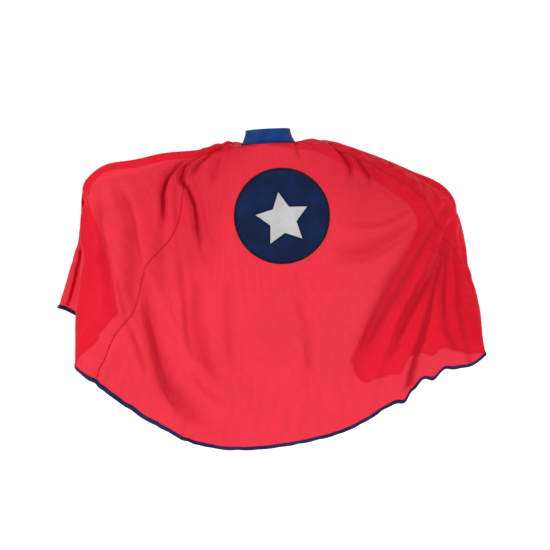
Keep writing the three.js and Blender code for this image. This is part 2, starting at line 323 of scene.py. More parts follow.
def vary_roughness(n, coords, scale, low, high):
    spread = n.add("ShaderNodeMapRange")
    spread.inputs["To Min"].default_value, spread.inputs["To Max"].default_value = low, high
    n.link(noise_of(n, coords, scale), spread.inputs["Value"])
    n.link(spread.outputs[0], n.shader.inputs["Roughness"])


def satin(name, deep, bright, glow, through_share=0.42, threads=5200.0, rough=0.46, see_through=0.09):
    """Light satin that lets some light through, with a fine weave and slack little puckers."""
    n = Nodes(name)
    coords = n.add("ShaderNodeTexCoord")
    obj, uv = coords.outputs["Object"], coords.outputs["UV"]
    cloud = noise_of(n, obj, 9.0, 4.0)
    slub = noise_of(n, obj, 420.0, 2.0)
    tone = math_of(n, "ADD", math_of(n, "MULTIPLY", cloud, 0.8), math_of(n, "MULTIPLY", slub, 0.2))
    # painted shade: the shade attribute darkens the base colour and lets less light through where it is set
    shade_fac = n.add("ShaderNodeAttribute", attribute_name="painted_shade").outputs["Fac"]
    darker = n.add("ShaderNodeMix", data_type="RGBA", blend_type="MULTIPLY")
    n.link(math_of(n, "MULTIPLY", shade_fac, 0.85, clamp=True), darker.inputs[0])
    n.link(ramp_of(n, tone, (0.35, deep), (0.65, bright)), darker.inputs[6])
    darker.inputs[7].default_value = (0.55, 0.45, 0.5, 1)
    n.link(darker.outputs[2], n.shader.inputs["Base Color"])
    vary_roughness(n, obj, 60.0, rough - 0.06, rough + 0.1)
    fine = bump_of(n, weave_height(n, uv, threads, threads), 0.25, 0.0002)
    pucker = bump_of(n, noise_of(n, obj, 38.0, 4.0, 0.55), 0.28, 0.004, fine)
    n.link(pucker, n.shader.inputs["Normal"])
    n.set(Specular_IOR_Level=0.12, Sheen_Weight=0.03, Sheen_Roughness=0.35, Sheen_Tint=(*bright, 1))
    if through_share:
        back = n.add("ShaderNodeBsdfTranslucent")
        back.inputs["Color"].default_value = (*glow, 1)
        n.link(pucker, back.inputs["Normal"])
        mix = n.add("ShaderNodeMixShader")
        through_unshaded = math_of(n, "SUBTRACT", 1.0, math_of(n, "MULTIPLY", shade_fac, 0.6))
        n.link(math_of(n, "MULTIPLY", through_unshaded, through_share, clamp=True), mix.inputs[0])
        n.link(n.shader.outputs[0], mix.inputs[1])
        n.link(back.outputs[0], mix.inputs[2])
        gaps = n.add("ShaderNodeBsdfTransparent")
        gaps.inputs["Color"].default_value = (1.0, 0.24, 0.30, 1)
        sheer = n.add("ShaderNodeMixShader")
        single = math_of(n, "SUBTRACT", 1.0, shade_fac, clamp=True)
        n.link(math_of(n, "MULTIPLY", single, see_through), sheer.inputs[0])
        n.link(mix.outputs[0], sheer.inputs[1])
        n.link(gaps.outputs[0], sheer.inputs[2])
        n.link(sheer.outputs[0], n.out.inputs["Surface"])
    return n.mat


def woven(name, dark, light, threads=(3000.0, 3000.0), rough=0.85, depth=0.0004, grain=900.0, sheen=0.3):
    """Matt woven or knitted cloth with a visible thread pattern and a mottled colour."""
    n = Nodes(name)
    coords = n.add("ShaderNodeTexCoord")
    obj, uv = coords.outputs["Object"], coords.outputs["UV"]
    tone = math_of(n, "ADD", math_of(n, "MULTIPLY", noise_of(n, obj, 30.0, 4.0), 0.6),
                   math_of(n, "MULTIPLY", noise_of(n, obj, grain, 2.0), 0.4))
    n.link(ramp_of(n, tone, (0.36, dark), (0.64, light)), n.shader.inputs["Base Color"])
    weave = bump_of(n, weave_height(n, uv, *threads), 0.6, depth)
    n.link(bump_of(n, noise_of(n, obj, grain, 3.0), 0.35, 0.0006, weave), n.shader.inputs["Normal"])
    vary_roughness(n, obj, 120.0, rough - 0.1, rough + 0.08)
    n.set(Specular_IOR_Level=0.25, Sheen_Weight=sheen, Sheen_Roughness=0.5, Sheen_Tint=(*light, 1))
    return n.mat


def satin_stitch(name, dark, light, pitch=0.0011):
    """Dense glossy thread laid across the border; U of the UV map runs along it, in metres."""
    n = Nodes(name)
    coords = n.add("ShaderNodeTexCoord")
    obj, uv = coords.outputs["Object"], coords.outputs["UV"]
    sep = n.add("ShaderNodeSeparateXYZ")
    n.link(uv, sep.inputs[0])
    lean = math_of(n, "ADD", sep.outputs[0], math_of(n, "MULTIPLY", sep.outputs[1], 0.35))
    thread = math_of(n, "SINE", math_of(n, "MULTIPLY", lean, 2 * math.pi / pitch))
    tone = math_of(n, "ADD", math_of(n, "MULTIPLY", thread, 0.25), noise_of(n, obj, 150.0))
    n.link(ramp_of(n, tone, (0.3, dark), (0.8, light)), n.shader.inputs["Base Color"])
    n.link(bump_of(n, thread, 0.7, 0.0004), n.shader.inputs["Normal"])
    n.set(Roughness=0.45, Specular_IOR_Level=0.2)
    return n.mat


RED_DEEP, RED_BRIGHT, RED_GLOW = (0.67, 0.006, 0.024), (0.77, 0.010, 0.034), (0.86, 0.018, 0.046)
M = {
    "red_satin": satin("red_satin_cloth", RED_DEEP, RED_BRIGHT, RED_GLOW),
    "seam_tape": woven("red_seam_tape", (0.36, 0.008, 0.02), (0.5, 0.014, 0.032), (2600.0, 5200.0)),
    "navy_binding": satin("navy_bias_tape", srgb(18, 24, 64), srgb(30, 38, 92), srgb(24, 30, 80),
                          through_share=0.0, threads=4200.0, rough=0.38),
    "blue_patch": woven("navy_patch_twill", srgb(0, 18, 54), srgb(0, 32, 80), (3400.0, 3400.0),
                        rough=0.9, sheen=0.0),
    "dark_thread": satin_stitch("dark_satin_stitch", srgb(2, 3, 9), srgb(12, 15, 32)),
    "star_felt": woven("pale_star_felt", srgb(176, 175, 176), srgb(198, 197, 198), (2200.0, 2200.0),
                       rough=0.9, depth=0.0003, grain=1400.0),
    "blue_collar": woven("blue_collar_knit", srgb(4, 42, 104), srgb(16, 68, 138), (3600.0, 2400.0),
                         rough=0.85, depth=0.0005, sheen=0.08),
    "interfacing": woven("pale_interfacing", (0.7, 0.7, 0.68), (0.82, 0.82, 0.8), (1500.0, 1500.0),
                         rough=0.9),
    "hook_and_loop": woven("navy_fastener_pile", (0.008, 0.011, 0.04), (0.02, 0.026, 0.08),
                           (5200.0, 5200.0), rough=0.95, depth=0.0009, grain=2400.0, sheen=0.5),
    "label": woven("white_label_ribbon", (0.78, 0.78, 0.76), (0.88, 0.88, 0.86), (6000.0, 2500.0),
                   rough=0.55, depth=0.0001),
    "navy_thread": satin_stitch("navy_thread", srgb(24, 30, 78), srgb(52, 60, 120), 0.0009),
}


def finish(ob, slot, body="cape", nodes=()):
    """Gives a piece its material, the body that it rides on and the CAD nodes that it stands for."""
    if not ob.data.materials:
        ob.data.materials.append(M[slot])
    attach(ob, body)
    if nodes:
        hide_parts(*nodes)
    return ob


# ---- folds -----------------------------------------------------------------------------------------
# Lines in the back view, X and Z in mm, with depth, half width at the start and at the end in mm,
# and how much of the depth is left at the start and at the end.
FOLDS = [
    # over the wearer's left shoulder
    ([(-150, -14), (-166, -24), (-184, -40), (-209, -68), (-218, -95), (-221, -126), (-218, -168),
      (-212, -211)], 13, 8, 12, 0.8, 0),
    ([(-160, -20), (-175, -58), (-178, -83), (-166, -102), (-154, -137), (-148, -181), (-135, -235),
      (-116, -260)], 11, 7, 11, 0.8, 0),
    ([(-181, -58), (-187, -89), (-190, -126), (-190, -168), (-203, -208)], 5, 6, 9, 0.3, 0),
    ([(-99, -12), (-123, -28), (-148, -52), (-160, -77), (-163, -98)], 9, 5, 8, 0.7, 0),
    ([(-94, -14), (-111, -64), (-117, -110)], 7, 8, 12, 0.6, 0),
    ([(-74, -8), (-84, -30), (-88, -60)], 4, 6, 8, 0.6, 0),
    ([(56, -4), (62, -22), (72, -44)], 5, 5, 8, 0.6, 0),
    # hanging from the shoulder and swinging towards the hem
    ([(-188, -180), (-184, -260), (-175, -334), (-169, -395), (-154, -444), (-123, -480)],
     4.5, 11, 15, 0.2, 0),
    ([(-268, -280), (-264, -310), (-258, -364), (-242, -419), (-227, -487), (-197, -547), (-135, -591),
      (-86, -615)], 6.5, 8, 15, 0.3, 0.1),
    ([(-300, -370), (-294, -383), (-270, -449), (-249, -505)], 4.5, 7, 10, 0.2, 0),
    ([(-325, -268), (-310, -331), (-295, -383)], 5, 9, 8, 0.2, 0.3),
    ([(-150, -420), (-120, -468), (-70, -500)], 2.5, 10, 12, 0, 0),
    ([(-165, -470), (-125, -520), (-75, -545)], 2.5, 10, 12, 0, 0),
    # from the left hand
    ([(-330, -60), (-318, -95), (-288, -150), (-276, -211), (-262, -289)], 7, 10, 9, 0.4, 0.2),
    ([(-354, -94), (-352, -168), (-331, -310), (-312, -393)], 5.5, 9, 14, 0.6, 0),
    ([(-300, -50), (-262, -100), (-240, -160), (-238, -210)], 3.5, 12, 12, 0.2, 0),
    # by the right shoulder
    ([(128, 0), (150, -18), (162, -33), (172, -64), (168, -100)], 10, 6, 9, 0.7, 0),
    ([(176, -20), (198, -52), (212, -80), (212, -106)], 9, 5, 8, 0.6, 0),
    ([(150, -100), (172, -112), (200, -112)], 2.5, 8, 8, 0, 0),
    # fanning from the right hand
    ([(372, -140), (358, -160), (309, -241), (278, -297), (229, -383), (196, -476), (181, -528)],
     8, 11, 26, 0.5, 0),
    ([(384, -170), (370, -202), (339, -285), (295, -358), (256, -449), (229, -518)], 8, 10, 20, 0.6, 0),
    ([(380, -180), (376, -202), (358, -272), (339, -345), (324, -407), (309, -456), (296, -501)],
     9, 7, 14, 0.5, 1),
    ([(386, -190), (379, -218), (372, -285), (370, -345), (376, -395), (391, -426)], 8, 6, 12, 0.5, 0.7),
    ([(392, -200), (391, -227), (399, -285), (401, -345), (416, -414), (424, -450)], 6, 6, 11, 0.4, 0.7),
    ([(137, -172), (229, -172), (290, -148), (349, -127)], 4.5, 14, 10, 0, 0.2),
    ([(110, -240), (200, -240), (280, -205), (350, -150)], 3, 16, 10, 0, 0.2),
    # broad soft bands
    ([(-262, -270), (-254, -350), (-236, -430), (-205, -510), (-150, -575), (-80, -612)],
     7, 24, 34, 0.2, 0.2),
    ([(-330, -90), (-300, -160), (-286, -240), (-290, -320), (-270, -400)], 6, 20, 24, 0.3, 0.1),
    ([(-205, -60), (-222, -150), (-226, -240), (-214, -330)], 5, 20, 26, 0.4, 0),
    ([(340, -150), (290, -230), (240, -320), (200, -420), (170, -520)], 7, 16, 32, 0.4, 0.1),
    ([(362, -170), (325, -280), (280, -380), (250, -470)], 6, 12, 26, 0.4, 0.2),
    ([(110, -215), (190, -228), (270, -190), (335, -140)], 5, 28, 18, 0, 0.2),
    ([(-140, -250), (-150, -350), (-130, -450), (-90, -540)], 5, 22, 32, 0, 0.1),
    # slack over the trunk
    ([(40, -290), (70, -360), (82, -450), (80, -560)], 3, 18, 26, 0, 0),
    ([(-70, -240), (-84, -330), (-80, -420), (-60, -520)], 3, 16, 26, 0, 0),
]


# where the hem hangs lower or higher than the loft: X, how much, half width, in metres
HEM_DROPS = (
    (0.281, -0.011, 0.012), (0.324, 0.009, 0.016), (0.349, -0.005, 0.009), (0.372, 0.008, 0.013),
    (0.425, -0.007, 0.018), (-0.30, -0.003, 0.03), (-0.21, 0.003, 0.03),
)
FLAP_DIP = 0.050                                  # how far the left flap's hem sags between its corners
# where the photo's cloth stands higher than the loft, over the left arm and beside the collar: X, Z, how
# much, half width, in metres
SHOULDER_RISES = ((-0.342, -0.07, 0.010, 0.042), (-0.075, -0.01, 0.006, 0.045))
GATHERS = 38                                      # pleats round the neck
NECKLINE, HEM_ROUND = 0.31, 1.70                  # rough lengths of the cloth at the neck and at the hem


def ease(t):
    t = np.clip(t, 0, 1)
    return t * t * (3 - 2 * t)


def fold_depth(x, z):
    """How far the cloth moves away from the wearer in metres, and 0 to 1 for painted shade in the fold
    valleys.
    """
    total, painted_shade = np.zeros_like(x), np.zeros_like(x)
    for line, depth, w0, w1, e0, e1 in FOLDS:
        line = through(np.linspace(0, 1, len(line)), np.array(line, float), np.linspace(0, 1, 40)) / 1000
        run = np.concatenate([[0], np.cumsum(np.linalg.norm(np.diff(line, axis=0), axis=-1))])
        run /= run[-1]
        near, where = np.full(x.shape, 1e9), np.zeros_like(x)
        for k in range(len(line) - 1):
            a, d = line[k], line[k + 1] - line[k]
            t = np.clip(((x - a[0]) * d[0] + (z - a[1]) * d[1]) / (d @ d), 0, 1)
            far = np.hypot(x - a[0] - t * d[0], z - a[1] - t * d[1])
            closer = far < near
            where = np.where(closer, run[k] + t * (run[k + 1] - run[k]), where)
            near = np.where(closer, far, near)
        q2 = (near / ((w0 + (w1 - w0) * where) / 1000)) ** 2          # squared distance, in half widths
        strength = (e0 + (1 - e0) * ease(where / 0.3)) * (e1 + (1 - e1) * ease((1 - where) / 0.4))
        total -= depth / 1000 * strength * (0.75 * (1 - 0.75 * q2) * np.exp(-0.75 * q2)
                                            + 0.5 * np.exp(-1.6 * np.sqrt(q2 + 0.01)))
        # painted shade: the deeper the fold, the darker its valley is coloured
        painted_shade = np.maximum(painted_shade, depth / 9 * strength * np.exp(-2.2 * q2))
    return total, painted_shade


def gathers(U, V):
    """Small pleats where the cloth is drawn into the neck seam, deeper towards the two shoulders."""
    depth = 0.0003 + 0.0027 * (np.exp(-((U - 0.33) / 0.06) ** 2) + np.exp(-((U - 0.72) / 0.05) ** 2))
    pleats = np.sin(U * 2 * np.pi * GATHERS + 2.0 * np.sin(U * 23))
    return depth * pleats * ease(V / 0.015) * np.exp(-V / 0.07)


def seam_creases(U, V):
    """The two panel seams pull in, with a soft puckered ridge on each side."""
    lift = np.zeros_like(U)
    pucker = 0.6 + 0.4 * np.sin(V * 230 + 3 * np.sin(V * 31))
    for seam, depth in ((LEFT_SEAM, 0.0014), (RIGHT_SEAM, 0.0008)):
        away = (U - seam) * (NECKLINE + (HEM_ROUND - NECKLINE) * V)
        lift -= depth * pucker * np.exp(-(away / 0.0035) ** 2) * ease(V / 0.1)
        lift += 0.0005 * pucker * np.exp(-((np.abs(away) - 0.010) / 0.006) ** 2) * ease(V / 0.1)
    return lift


def slack_waves(U, V, P):
    """Slight unevenness everywhere but under the emblem, which keeps the cloth flat."""
    slack = 0.0016 * np.sin(U * 61 + 2 * np.sin(V * 5)) * np.sin(V * 9 + 3 * U) * ease(V / 0.3)
    grain = np.sin(U * 190 + 5 * np.sin(V * 6.1) + 3 * np.sin(U * 17)) * np.sin(V * 17 + 4 * np.sin(U * 29))
    from_emblem = np.hypot(P[..., 0] - DISC[0], P[..., 2] - DISC[1])
    return (slack + 0.00035 * grain * ease(V / 0.2)) * (1 - np.exp(-(from_emblem / 0.125) ** 4))


def flap_waves(U, V):
    """Hanging waves in the two front flaps."""
    left = ease((0.15 - U) / 0.08) * ease(V / 0.5) * 0.007 * np.sin(U * 118 + 1.2 + V)
    right = ease((U - 0.86) / 0.06) * ease(V / 0.5) * 0.008 * np.sin(U * 104 + 0.4 - V)
    return left + right


def fold(us, vs, P):
    """The loft with its folds, gathers, creases and waves, and the painted shade at each place."""
    U, V = np.meshgrid(us, vs, indexing="ij")
    back = ease((U - 0.07) / 0.06) * ease((0.93 - U) / 0.06)         # 1 on the back, 0 on the flaps
    lift, painted_shade = fold_depth(P[..., 0], P[..., 2])
    lift, painted_shade = lift * back, painted_shade * back
    lift += gathers(U, V) + seam_creases(U, V) + slack_waves(U, V, P) + flap_waves(U, V)
    P = P + grid_normals(P) * lift[..., None]
    for x, drop, width in HEM_DROPS:
        P[..., 2] += drop * np.exp(-((P[..., 0] - x) / width) ** 2) * ease((V - 0.72) / 0.28) ** 1.5 * back
    P[..., 2] -= FLAP_DIP * np.exp(-((U - 0.038) / 0.023) ** 2) * ease((V - 0.6) / 0.4)
    for x, z, up, wide in SHOULDER_RISES:
        near = np.exp(-((P[..., 0] - x) / wide) ** 2 - ((P[..., 2] - z) / 0.05) ** 2)
        P[..., 2] += up * ease(V / 0.05) * near
    # painted shade and shadow, darker near the neck and most on the shoulders, as in the photo: the shade of
    # close-lying gathers there and the shadow of the wearer's arms and body behind the cloth, which can't be
    # told apart
    aside = ease((np.abs(U - 0.5) - 0.14) / 0.14)
    neck_and_shoulder_shade = (0.26 + 0.28 * aside) * (1 - ease((V - 0.10 - 0.18 * aside) / 0.38))
    return P, np.maximum(painted_shade, neck_and_shoulder_shade * back)


CLOTH_MASS = 0.15 * 0.8                           # kg: four fifths of the cape's mass, which is a guess
MOST_SETTLING = 0.010                             # the furthest that a point may settle


def settle(us, vs, P, frames=26):
    """The creases that the folded cloth takes on when it hangs for a moment from the neck, arms and hands."""
    n, m = P.shape[:2]
    cloth = bpy.data.objects.new("settling", bpy.data.meshes.new("settling"))
    cloth.data.from_pydata(P.reshape(-1, 3).tolist(), [], quads(n, m))
    scene = bpy.context.scene
    scene.collection.objects.link(cloth)
    U, V = np.meshgrid(us, vs, indexing="ij")
    above_hands = ease((0.64 - V) / 0.06)
    left_arm = ease((0.13 - U) / 0.05) * above_hands
    right_arm = ease((U - 0.84) / 0.05) * above_hands
    slightly = np.full(U.shape, 0.035)
    held = np.maximum.reduce([ease((0.10 - V) / 0.05), left_arm, right_arm, slightly])
    group = cloth.vertex_groups.new(name="held")
    for k, w in enumerate(held.ravel()):
        group.add([k], float(w), "REPLACE")
    mod = cloth.modifiers.new("cloth", "CLOTH")
    c = mod.settings
    c.quality, c.mass = 6, CLOTH_MASS / (n * m)
    c.tension_stiffness = c.compression_stiffness = 15
    c.shear_stiffness, c.bending_stiffness = 8, 0.05
    c.tension_damping = c.compression_damping = c.shear_damping = 5
    c.bending_damping, c.air_damping = 0.5, 1.0
    c.vertex_group_mass, c.pin_stiffness, c.shrink_min = "held", 4, -0.03
    mod.collision_settings.use_collision = mod.collision_settings.use_self_collision = False
    mod.point_cache.frame_start, mod.point_cache.frame_end = 1, frames
    scene.gravity = (0, 0, -9.81)
    for frame_number in range(1, frames + 1):
        scene.frame_set(frame_number)
    result = cloth.evaluated_get(bpy.context.evaluated_depsgraph_get()).data
    Q = np.empty(n * m * 3)
    result.vertices.foreach_get("co", Q)
    scene.frame_set(1)
    bpy.data.objects.remove(cloth)
    move = Q.reshape(n, m, 3) - P
    broad = move.copy()                           # the broad sag, found by smoothing, mostly comes off
    for _ in range(60):
        for axis in (0, 1):
            pad = [(1, 1) if a == axis else (0, 0) for a in range(3)]
            q = np.pad(broad, pad, mode="edge")
            broad = (np.take(q, range(q.shape[axis] - 2), axis) + 2 * broad
                     + np.take(q, range(2, q.shape[axis]), axis)) / 4
    move -= 0.85 * broad
    size = np.linalg.norm(move, axis=-1, keepdims=True)
    return move * MOST_SETTLING * np.tanh(size / MOST_SETTLING) / np.maximum(size, 1e-9)


# ---- the cloth -----------------------------------------------------------------------------------
FINER = 3
us, vs = stations(26, 78), np.linspace(0, 1, 58)
coarse = us, vs
us, vs, P = finer(us, vs, loft(us, vs), FINER)
smooth_cape = Surface(us, vs, P)
# painted shade: darker in the fold valleys, near the neck and on the shoulders
P, PAINTED_SHADE = fold(us, vs, P)
from_emblem = np.hypot(P[..., 0] - DISC[0], P[..., 2] - DISC[1])
stiff = np.exp(-(from_emblem / 0.118) ** 6) * ease(P[..., 1] / -0.02)
settled = finer(*coarse, settle(*coarse, P[::FINER, ::FINER]), FINER)[2]
P = P + settled * (1 - 0.93 * stiff[..., None])
cape = Surface(us, vs, P)
PATTERN = np.stack(np.meshgrid(us * 1.69, vs * LENGTH, indexing="ij"), -1)       # metres, for the weave


def span(values, low, high):
    """The stations from low to high, with both ends."""
    return np.where((values >= low - 1e-9) & (values <= high + 1e-9))[0]


PANELS = {"left_side": (0, LEFT_SEAM), "back": (LEFT_SEAM, RIGHT_SEAM), "right_side": (RIGHT_SEAM, 1)}
for name, ends in PANELS.items():
    k = span(us, *ends)
    finish(sheet_mesh(f"{name}_cloth", P[k], PATTERN[k], PAINTED_SHADE[k]), "red_satin",
                          nodes=[f"{name}_panel"])


def downward(u):
    """Unit direction of the cloth where it meets its hem."""
    d = cape.at(u, 1.0) - cape.at(u, 0.996)
    return d / np.linalg.norm(d, axis=-1, keepdims=True)


def edge_tape(name, u, width, thick, slot, nodes):
    """Bias tape folded over the hem, with a soft fold and stitched edges."""
    outside = [(0, 0.55), (0.25, 0.95), (0.8, 1.0), (0.97, 0.7)]      # share of the width, of the thickness
    profile = outside + [(1.03, 0)] + [(across, -h) for across, h in outside[::-1]]
    wave = 1 + 0.1 * np.sin(u * 260) + 0.06 * np.sin(u * 611 + 1)
    sections = []
    for across, h in profile:
        v = 1 - width / LENGTH * (1 - across)
        over = np.maximum(v - 1, 0) * LENGTH
        sections.append(cape.at(u, np.minimum(v, 1), h * thick * wave) + over * downward(u))
    S = np.stack(sections, 1)
    arc = np.concatenate([[0], np.cumsum(np.linalg.norm(np.diff(S[:, 0], axis=0), axis=-1))])
    uv = np.stack(np.broadcast_arrays(arc[:, None], np.arange(len(profile))[None] * 0.0018), -1)
    return finish(swept(name, S, uv=uv), slot, nodes=nodes)


hem = edge_tape("hem_tape", np.linspace(0, 1, 900), 0.0072, 0.0011, "navy_binding", ["hem_binding"])


def stitch_row(name, u, v, height, length, radius, material, slot):
    """Thread stitches lying on the cloth along (u, v)."""
    p = cape.at(u, v, height)
    t = np.gradient(p, axis=0)
    t /= np.linalg.norm(t, axis=-1, keepdims=True)
    n = cape.at(u, v, height + 0.001) - p
    n /= np.linalg.norm(n, axis=-1, keepdims=True)
    return finish(stitches(name, p, t, n, length, radius, M[material]), slot)


hem_u = np.linspace(0.002, 0.998, 620)
hem_v = np.full_like(hem_u, 1 - 0.0058 / LENGTH)
hem_thread = stitch_row("hem_stitching", hem_u, hem_v, height=0.00115, length=0.0019, radius=0.00022,
                        material="navy_thread", slot="navy_binding")


def inner_strip(name, centre, width, v0, slot, node, height=-0.0009, thick=0.0005):
    """A flat strip sewn to the inside of the cloth, from v0 down to just above the hem."""
    v = np.linspace(v0, 0.985, 160)
    speed = np.linalg.norm(cape.at(centre + 0.004, v) - cape.at(centre - 0.004, v), axis=-1) / 0.008
    sections = []
    for side, h in ((-1, 0), (-0.9, -1), (0.9, -1), (1, 0), (0.9, 0.6), (-0.9, 0.6)):
        sections.append(cape.at(centre + side * width / 2 / speed, v, height + h * thick))
    S = np.stack(sections, 1)
    uv = np.stack(np.broadcast_arrays(v[:, None] * LENGTH, np.arange(6)[None] * 0.003), -1)
    return finish(swept(name, S, uv=uv), slot, nodes=[node])


left_facing = inner_strip("left_edge_turning", 0.008, 0.009, 0.01, "red_satin", "left_edge_facing")
right_facing = inner_strip("right_edge_turning", 0.992, 0.009, 0.01, "red_satin", "right_edge_facing")
left_tape = inner_strip("left_seam_ribbon", LEFT_SEAM, 0.0026, 0.02, "seam_tape", "left_seam_tape")
right_tape = inner_strip("right_seam_ribbon", RIGHT_SEAM, 0.0026, 0.02, "seam_tape", "right_seam_tape")

# ---- emblem --------------------------------------------------------------------------------------
STAR = DISC + np.array([0.0015, -0.0070])
DISC_R, BORDER_W = 0.100, 0.0047
STAR_R, STAR_WAIST, STAR_LEAN, STAR_BORDER = 0.0585, 0.506, math.radians(9.5), 0.0026


def laid(points, height):
    """Points of the back view put on the cape's surface, raised by height."""
    u, v = smooth_cape.under(points[..., 0], points[..., 1])
    return cape.at(u, v, height)


def star_edge(count=400):
    """The outline of the five-pointed star."""
    corners = []
    for i in range(10):
        r = STAR_R * (STAR_WAIST if i % 2 else 1)
        t = i * math.pi / 5 - STAR_LEAN
        corners.append(STAR + r * np.array([math.sin(t), math.cos(t)]))
    corners = np.array(corners + corners[:1])
    at = np.linspace(0, 10, count, endpoint=False)
    k = at.astype(int)
    f = (at - k)[:, None]
    return corners[k] * (1 - f) + corners[k + 1] * f


def circle(radius, count=400):
    t = np.linspace(0, 2 * np.pi, count, endpoint=False)
    return DISC + radius * np.stack([np.sin(t), np.cos(t)], -1)


def smooth_loop(outline, passes):
    for _ in range(passes):
        outline = (np.roll(outline, 1, 0) + 2 * outline + np.roll(outline, -1, 0)) / 4
    return outline


def patch(name, outline, centre, rings, height, thick, slot, node):
    """A thin felt or twill shape laid on the cloth, with a rounded edge."""
    f = np.concatenate([np.linspace(0.004, 1, rings), np.linspace(1, 0.004, rings)])
    edge = np.clip((f[:rings] - 0.98) / 0.02, 0, 1)
    lift = np.concatenate([height + thick * np.sqrt(1 - 0.7 * edge**2), np.full(rings, height)])
    flat = centre + (outline - centre)[None] * f[:, None, None]
    placed = laid(flat, lift[:, None])
    n, m = placed.shape[:2]
    faces = quads(n, m, wrap_m=True) + [list(range(m))[::-1], list(range((n - 1) * m, n * m))]
    return finish(new_mesh(name, placed.reshape(-1, 3), faces, flat.reshape(-1, 2)), slot, nodes=[node])


def stitched_border(name, path, width, height, thick, node, offset=0.0):
    """A raised band of satin stitch along a closed path."""
    tangent = np.roll(path, -1, 0) - np.roll(path, 1, 0)
    tangent /= np.linalg.norm(tangent, axis=-1, keepdims=True)
    outward = np.stack([tangent[:, 1], -tangent[:, 0]], -1)
    outward *= np.sign(((path - path.mean(0)) * outward).sum(-1).mean())
    sections = [laid(path + outward * (offset - width / 2 * math.cos(a)), height + thick * math.sin(a) ** 0.7)
                for a in np.linspace(0, np.pi, 9)]
    sections += [laid(path + outward * (offset + width / 2 * s), height - 0.0003) for s in (0.9, -0.9)]
    S = np.stack(sections, 1)
    arc = np.concatenate([[0], np.cumsum(np.linalg.norm(np.diff(path, axis=0), axis=-1))])
    uv = np.stack(np.broadcast_arrays(arc[:, None], np.arange(S.shape[1])[None] * width / 8), -1)
    return finish(swept(name, S, closed=True, uv=uv), "dark_thread", nodes=[node])


CLEAR, ON_DISC = 0.0007, 0.0018                   # heights over the cloth of the disc and of the star
disc = patch("emblem_disc", circle(DISC_R - BORDER_W * 0.6), DISC, 60, CLEAR, 0.0009, "blue_patch",
             "patch_disc")
disc_edge = stitched_border("emblem_disc_stitching", circle(DISC_R - BORDER_W / 2, 720), BORDER_W, CLEAR,
                            0.0018, "patch_border")
star = patch("emblem_star", star_edge(), STAR, 34, ON_DISC, 0.0008, "star_felt", "star_applique")
star_rim = stitched_border("emblem_star_stitching", smooth_loop(star_edge(700), 6), STAR_BORDER, ON_DISC,
                           0.0014, "star_border", offset=0.0006)

# ---- collar, binding, closure tab, label -----------------------------------------------------------
FROM, TO = TURN - NECK_SPAN / 2, TURN + NECK_SPAN / 2      # the collar's two ends, in degrees
COLLAR_TOP = 0.026
FLARE = 0.0070                                    # how far the foot of the collar flares out at the back
DRAWN_IN = 0.0022                                 # and how far its top draws in


def ring_points(angle, radius, height):
    """Points round the neck, leaning with the collar."""
    a = np.radians(angle)
    x = radius * np.sin(a)
    return np.stack(np.broadcast_arrays(x, -radius * np.cos(a), height + x * LEAN), -1)


def splay(angle, z):
    """The collar's flare, which fades out towards the closure so that the tab stays clear of it."""
    behind = ease((np.minimum(angle - FROM, TO - angle) - 18) / 70)
    return behind * ((FLARE + DRAWN_IN) * (1 - np.clip(z / COLLAR_TOP, 0, 1)) ** 1.6 - DRAWN_IN)


def band(name, a0, a1, profile, slot, nodes, body="cape", wobble=0.0, count=160, rise=None, flared=False):
    """A band round the neck from a closed profile of (radius, height), in metres."""
    angle = np.linspace(a0, a1, count)
    lift = np.zeros(count) if rise is None else rise(angle)
    wave = wobble * (np.sin(np.radians(angle) * 3 + 0.7) + 0.6 * np.sin(np.radians(angle) * 7 + 2))
    end = np.clip(np.minimum(angle - a0, a1 - angle) / 1.5, 0, 1) ** 0.5
    centre = np.mean([r for r, _ in profile])
    middle = np.mean([z for _, z in profile])
    sections = []
    for r, z in profile:
        radius = centre + (r - centre) * (0.4 + 0.6 * end) + lift + (splay(angle, z) if flared else 0.0)
        sections.append(ring_points(angle, radius + wave * (0.4 + z / 0.03),
                                    middle + (z - middle) * (0.97 + 0.03 * end)))
    arc = np.radians(angle - a0) * centre
    run = np.concatenate([[0], np.cumsum(np.hypot(*np.diff(np.array(profile), axis=0).T))])
    uv = np.stack(np.broadcast_arrays(arc[:, None], run[None]), -1)
    return finish(swept(name, np.stack(sections, 1), uv=uv), slot, body, nodes)


def rounded(r0, r1, z0, z1, corner, steps=5):
    """Closed profile of an upright strip with rounded edges."""
    c = min(corner, (r1 - r0) / 2)
    corners = ((r1 - c, z1 - c, 0), (r0 + c, z1 - c, 90), (r0 + c, z0 + c, 180), (r1 - c, z0 + c, 270))
    pts = []
    for cx, cz, a0 in corners:
        for a in np.radians(np.linspace(a0, a0 + 90, steps)):
            pts.append((cx + c * math.cos(a), cz + c * math.sin(a)))
    sides = []
    for k, (r, z) in enumerate(pts):
        sides.append((r, z))
        if k in (2 * steps - 1, 4 * steps - 1):
            (ra, za), (rb, zb) = (r, z), pts[(k + 1) % len(pts)]
            sides += [(ra + (rb - ra) * f, za + (zb - za) * f) for f in np.linspace(0, 1, 9)[1:-1]]
    return sides


collar = band("collar_shell", FROM, TO, rounded(0.0465, 0.0486, 0.0004, 0.0268, 0.0011), "blue_collar",
              ["collar_outer"], wobble=0.0005, flared=True)
lining = band("collar_inner", FROM, TO, rounded(0.0440, 0.0452, 0.0008, 0.0258, 0.0006), "blue_collar",
              ["collar_lining"], wobble=0.0005, flared=True)
stiffener = band("collar_stiffener", FROM + 1.5, TO - 1.5, rounded(0.0455, 0.0462, 0.0016, 0.0250, 0.0003),
                 "interfacing", ["collar_interfacing"], wobble=0.0005, flared=True)
neck_tape = band("neck_tape", FROM, TO, rounded(0.0472, 0.0575, -0.0052, 0.0003, 0.0018), "navy_binding",
                 ["neck_binding"], wobble=0.0003)

TAB_FROM, TAB_TO = TO + 1.2, TO + 45.2
SQUARE_FROM, SQUARE_TO = TAB_TO - 18, TAB_TO - 3


def tab_rise(angle):
    """The tab steps out over the other end of the collar."""
    return 0.0052 * ease((angle - TAB_FROM) / 16)


